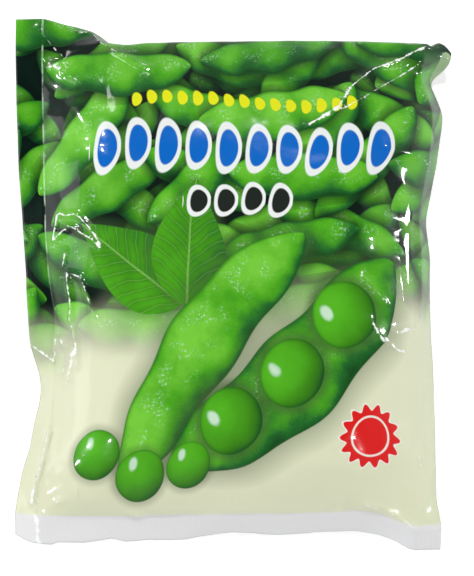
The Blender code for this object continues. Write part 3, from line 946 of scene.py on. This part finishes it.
def crumpled_relief(s, t, rng, pitch):
    """Straight-edged facets between random heights about one pitch apart, from -1 to 1."""
    corners = [
        Vector((x + rng.uniform(-0.4, 0.4) * pitch, y + rng.uniform(-0.4, 0.4) * pitch))
        for x in np.arange(s.min() - 2 * pitch, s.max() + 3 * pitch, pitch)
        for y in np.arange(t.min() - 2 * pitch, t.max() + 3 * pitch, pitch)
    ]
    places, _, facets, *_ = delaunay_2d_cdt(corners, [], [], 0, 1e-6)
    heights = rng.uniform(-1, 1, len(places))
    relief = np.zeros(s.shape)
    for facet in facets:
        (ax, ay), (bx, by), (cx, cy) = (places[index] for index in facet)
        area = (bx - ax) * (cy - ay) - (cx - ax) * (by - ay)
        if abs(area) < 1e-9:
            continue
        u = ((s - ax) * (cy - ay) - (t - ay) * (cx - ax)) / area
        v = ((bx - ax) * (t - ay) - (by - ay) * (s - ax)) / area
        first, second, third = (heights[index] for index in facet)
        inside = (u >= 0) & (v >= 0) & (u + v <= 1)
        relief[inside] = (first + u * (second - first) + v * (third - first))[inside]
    return relief


def crumple_facets(s, t, rng):
    """Large facets with smaller and lower ones over them."""
    large, small = (crumpled_relief(s, t, rng, pitch) for pitch in FACET_PITCHES)
    return large + 0.6 * small


def pod_relief(s, t, rng):
    """Soft lumps where pods press against the film, from 0 to 1 or so."""
    best = np.zeros(np.broadcast(s, t).shape)
    for _ in range(LUMP_COUNT):
        cs, ct = rng.uniform(0.015, BODY_WIDTH - 0.015), rng.uniform(0.012, BODY_HEIGHT - 0.02)
        angle = rng.normal(0.1, 0.5)
        along = (s - cs) * math.cos(angle) + (t - ct) * math.sin(angle)
        across = (t - ct) * math.cos(angle) - (s - cs) * math.sin(angle)
        lump = np.exp(-((along / LUMP_HALF_LENGTH) ** 4) - (across / LUMP_HALF_WIDTH) ** 2)
        beans = 0.8 + 0.2 * np.cos(along / LUMP_BEANS)
        best = np.maximum(best, lump * beans * rng.uniform(0.5, 1.0))
    return best


def film_grid(settings):
    spacing = settings.spacing
    columns = int(round((BODY_WIDTH + 2 * SIDE_SEAL) / spacing))
    rows = int(round((BODY_HEIGHT + BOTTOM_SEAL + TOP_SEAL) / spacing))
    s = np.linspace(-SIDE_SEAL, BODY_WIDTH + SIDE_SEAL, columns + 1)
    t = np.linspace(-BOTTOM_SEAL, BODY_HEIGHT + TOP_SEAL, rows + 1)
    return np.meshgrid(s, t)


def flat_fold(x, y, z):
    """How far each place belongs to the flat fold, from 0 to 1, and the fold's height there."""
    place, middles, halves = np.array(FLAT_FOLD).T * 1e-3
    middle, half = np.interp(y, place, middles), np.interp(y, place, halves)
    share = np.clip(1.0 - (np.abs(x - middle) - half) / FLAT_FOLD_RIM, 0, 1)
    share = np.where((y > place[0]) & (y < place[-1]), share * share * (3.0 - 2.0 * share), 0.0)
    level = (z * share).sum() / share.sum()
    return share, level - FLAT_FOLD_SLOPE * (x - middles.mean())


def panel_points(s, t, settings, front):
    """Outer surface of one film panel, with all its relief."""
    points, full = film_surface(s, t, settings, front)
    normals = grid_normals(points)
    side = 1.0 if front else -1.0
    stack = settings.wall * 1.2
    offset = stack + (SOLID_HALF_STACK - stack) * np.clip(full * 3.0, 0, 1)
    rng = np.random.default_rng(3 if front else 5)
    x, y = points[..., 0], points[..., 1]
    inward = np.minimum(np.minimum(s, BODY_WIDTH - s), np.minimum(t, BODY_HEIGHT - t))
    free = np.clip(inward / 0.003, 0, 1)
    creases = np.where((t > FOLDED_FROM_Y) & (s > FOLDED_FROM_X), 0.0, crease_relief(x, y))
    relief = pucker_relief(s, t, rng) * settings.pucker * (1.0 if front else 0.5)
    lumps = pod_relief(s, t, rng) * settings.lump * np.clip(full * 1.6 - 0.4, 0, 1)
    relief = relief + crumple_facets(s, t, rng) * settings.crumple * free * (1.0 - 0.5 * full)
    if front:
        relief = relief + lumps + creases * free
    else:
        relief = np.where(full > 0.98, 0.0, relief * (1 - full))
    welded = crumple_facets(s, t, np.random.default_rng(7)) * settings.crumple * 0.6 + creases
    outer = points + normals * (side * (offset + relief) + welded * (1.0 - free))[..., None]
    if front:
        flat, level = flat_fold(*np.moveaxis(outer, -1, 0))
        outer[..., 2] += flat * (level - outer[..., 2])
    return outer


def make_film(name, front, material, settings):
    """One film panel as a thin closed solid, with the flat film's layout in metres as its UV map.

    A quad is split along the diagonal from its first corner, so it starts at one of the two corners
    that lie higher on a crease.
    """
    s, t = drawn_to_creases(*film_grid(settings), settings)
    points = panel_points(s, t, settings, front)
    rows, columns = s.shape
    index = np.arange(rows * columns).reshape(rows, columns)
    corners = index[:-1, :-1], index[:-1, 1:], index[1:, 1:], index[1:, :-1]
    faces = np.stack(corners, axis=-1).reshape(-1, 4)
    base, _ = film_surface(s, t, settings, front)
    crest = crease_relief(base[..., 0], base[..., 1]).ravel()[faces]
    other_way = crest[:, 1] + crest[:, 3] > crest[:, 0] + crest[:, 2]
    faces[other_way] = np.roll(faces[other_way], 1, axis=1)
    if not front:
        faces = faces[:, ::-1]
    mesh = bpy.data.meshes.new(name)
    mesh.from_pydata(points.reshape(-1, 3).tolist(), [], faces.tolist())
    layer = mesh.uv_layers.new(name="film")
    vertices = np.empty(len(mesh.loops), dtype=np.int32)
    mesh.loops.foreach_get("vertex_index", vertices)
    flat = np.stack([s.ravel(), t.ravel()], axis=-1)[vertices]
    layer.data.foreach_set("uv", flat.ravel())
    # How white each crest is painted: partly stress whitening, partly a painted highlight
    wear_and_highlight = mesh.attributes.new("crease_wear_and_highlight", "FLOAT", "POINT")
    wear_and_highlight.data.foreach_set("value", crease_wear_and_highlight(base[..., 0], base[..., 1]).ravel())
    mesh.materials.append(material)
    mesh.shade_smooth()
    film = bpy.data.objects.new(name, mesh)
    bpy.context.scene.collection.objects.link(film)
    wall = film.modifiers.new("film_thickness", "SOLIDIFY")
    wall.thickness = settings.wall
    wall.offset = -1.0
    apply_modifiers(film)
    return film


def apply_modifiers(obj):
    bpy.ops.object.select_all(action="DESELECT")
    obj.select_set(True)
    bpy.context.view_layer.objects.active = obj
    for modifier in list(obj.modifiers):
        bpy.ops.object.modifier_apply(modifier=modifier.name)


# Pieces


class POUCH_OT_film(bpy.types.Operator):
    """Make the printed front and back film panels of the pouch"""

    bl_idname = "pouch.film"
    bl_label = "Film panels"

    def execute(self, context):
        settings, colours = context.scene.pouch_film, context.scene.pouch_print
        groups = {"pod": pod_group(colours), "bean": bean_group(colours), "leaf": leaf_group(colours)}
        groups["heap"] = heap_group(colours, groups["pod"])
        printed = film_material("printed_front_film", front_print, colours, groups)
        front = make_film("front_film_panel", True, printed, settings)
        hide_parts("front_film")
        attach(front, "root")
        printed = film_material("printed_back_film", back_print, colours)
        back = make_film("back_film_panel", False, printed, settings)
        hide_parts("back_film")
        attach(back, "root")
        return {"FINISHED"}


class POUCH_OT_pods(bpy.types.Operator):
    """Give the frozen pods inside the pouch their frosted skin"""

    bl_idname = "pouch.pods"
    bl_label = "Frozen pods"

    def execute(self, context):
        material, tree, shader = new_material("frosted_pod_skin")
        coordinates = tree.nodes.new("ShaderNodeTexCoord")
        place = Wire(tree, coordinates.outputs["Object"])
        mottle = noise(tree, place, 160.0, 3.0)
        frost = noise(tree, place, 420.0, 4.0, 0.7).step(0.52, 0.72)
        green = context.scene.pouch_print.leaf_green
        colour = mixed(tree, mottle, scaled(green, 0.7), scaled(green, 1.2))
        colour = mixed(tree, frost * 0.6, colour, (0.80, 0.88, 0.82))
        feed_all(shader, {"Base Color": colour, "Roughness": mottle * 0.3 + 0.45})
        for name in ("pods_lower_layer", "pods_middle_layer", "pods_upper_layer"):
            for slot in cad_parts[name].material_slots:
                slot.material = material
        return {"FINISHED"}


class POUCH_OT_stage(bpy.types.Operator):
    """Set the pale floor, the soft lights and the camera over the pouch"""

    bl_idname = "pouch.stage"
    bl_label = "Studio"

    def execute(self, context):
        settings = context.scene.pouch_stage
        bpy.ops.object.select_all(action="DESELECT")
        bpy.ops.mesh.primitive_plane_add(size=settings.floor_size, location=(0, 0, 0))
        floor = context.active_object
        floor.name = "studio_floor"
        material, tree, shader = new_material("studio_floor")
        light_path = tree.nodes.new("ShaderNodeLightPath")
        in_gloss = Wire(tree, light_path.outputs["Is Glossy Ray"])
        inputs = {
            "Base Color": mixed(tree, in_gloss, (0.95, 0.95, 0.95), (0.85, 0.85, 0.85)),
            "Roughness": 0.9,
            "Specular IOR Level": 0.0,
            "Emission Color": (1.0, 1.0, 1.0),
            "Emission Strength": Wire(tree, light_path.outputs["Is Camera Ray"]) * 0.45,
        }
        feed_all(shader, inputs)
        floor.data.materials.append(material)
        context.scene.world = studio_world()
        for index, (azimuth, elevation, size, share) in enumerate(STUDIO_LIGHTS):
            softbox(f"softbox_{index + 1}", azimuth, elevation, size, settings.light_power * share)
        camera_over_pouch(settings)
        context.scene.view_settings.view_transform = "Standard"
        return {"FINISHED"}


def studio_world():
    """Pale walls and a darker ceiling, seen by the camera as one pale grey."""
    world = bpy.data.worlds.new("studio_world")
    world.use_nodes = True
    tree = world.node_tree
    background = tree.nodes["Background"]
    coordinates = tree.nodes.new("ShaderNodeTexCoord")
    _, _, up = split_vector(tree, Wire(tree, coordinates.outputs["Generated"]))
    walls = ramp(tree, up, (0.0, (0.50, 0.50, 0.50)), (0.35, (0.28, 0.28, 0.28)), (0.75, (0.06, 0.06, 0.06)))
    seen = Wire(tree, tree.nodes.new("ShaderNodeLightPath").outputs["Is Camera Ray"])
    feed(background.inputs["Color"], mixed(tree, seen, walls, (0.90, 0.90, 0.90)))
    background.inputs["Strength"].default_value = 1.0
    return world


def softbox(name, azimuth, elevation, size, power):
    """A square light one metre away that points at the middle of the pouch."""
    light = bpy.data.lights.new(name, "AREA")
    light.size = size
    light.energy = power
    lamp = bpy.data.objects.new(name, light)
    bpy.context.scene.collection.objects.link(lamp)
    turn, lift = math.radians(azimuth), math.radians(elevation)
    lamp.location = (math.cos(turn) * math.cos(lift), math.sin(turn) * math.cos(lift), math.sin(lift))
    lamp.rotation_euler = (-lamp.location).to_track_quat("-Z", "Y").to_euler()


def camera_over_pouch(settings):
    """The camera straight over the pouch, with the pouch a little left of the picture's middle."""
    data = bpy.data.cameras.new("camera_over_pouch")
    camera = bpy.data.objects.new("camera_over_pouch", data)
    bpy.context.scene.collection.objects.link(camera)
    data.sensor_fit = "VERTICAL"
    data.sensor_height = SENSOR_HEIGHT
    data.lens = SENSOR_HEIGHT * (settings.camera_height - SEAM_LEVEL) / settings.view_height
    camera.location = (*CAMERA_XY, settings.camera_height)
    bpy.context.scene.camera = camera


class POUCH_PT_sidebar(bpy.types.Panel):
    """Pouch settings and pieces"""

    bl_idname = "POUCH_PT_sidebar"
    bl_label = "Frozen Pod Pouch"
    bl_space_type = "VIEW_3D"
    bl_region_type = "UI"
    bl_category = "Pouch"

    def draw(self, context):
        for group in (context.scene.pouch_film, context.scene.pouch_print, context.scene.pouch_stage):
            box = self.layout.box()
            for name in type(group).__annotations__:
                box.prop(group, name)
        for operator in (POUCH_OT_film, POUCH_OT_pods, POUCH_OT_stage):
            self.layout.operator(operator.bl_idname)


CLASSES = (
    PouchFilmSettings,
    PouchPrintSettings,
    PouchStageSettings,
    POUCH_OT_film,
    POUCH_OT_pods,
    POUCH_OT_stage,
    POUCH_PT_sidebar,
)


def register():
    for cls in CLASSES:
        bpy.utils.register_class(cls)
    bpy.types.Scene.pouch_film = bpy.props.PointerProperty(type=PouchFilmSettings)
    bpy.types.Scene.pouch_print = bpy.props.PointerProperty(type=PouchPrintSettings)
    bpy.types.Scene.pouch_stage = bpy.props.PointerProperty(type=PouchStageSettings)


def unregister():
    del bpy.types.Scene.pouch_film
    del bpy.types.Scene.pouch_print
    del bpy.types.Scene.pouch_stage
    for cls in reversed(CLASSES):
        bpy.utils.unregister_class(cls)


def main():
    register()
    bpy.ops.pouch.film()
    bpy.ops.pouch.pods()
    bpy.ops.pouch.stage()


if __name__ == "__main__":
    main()
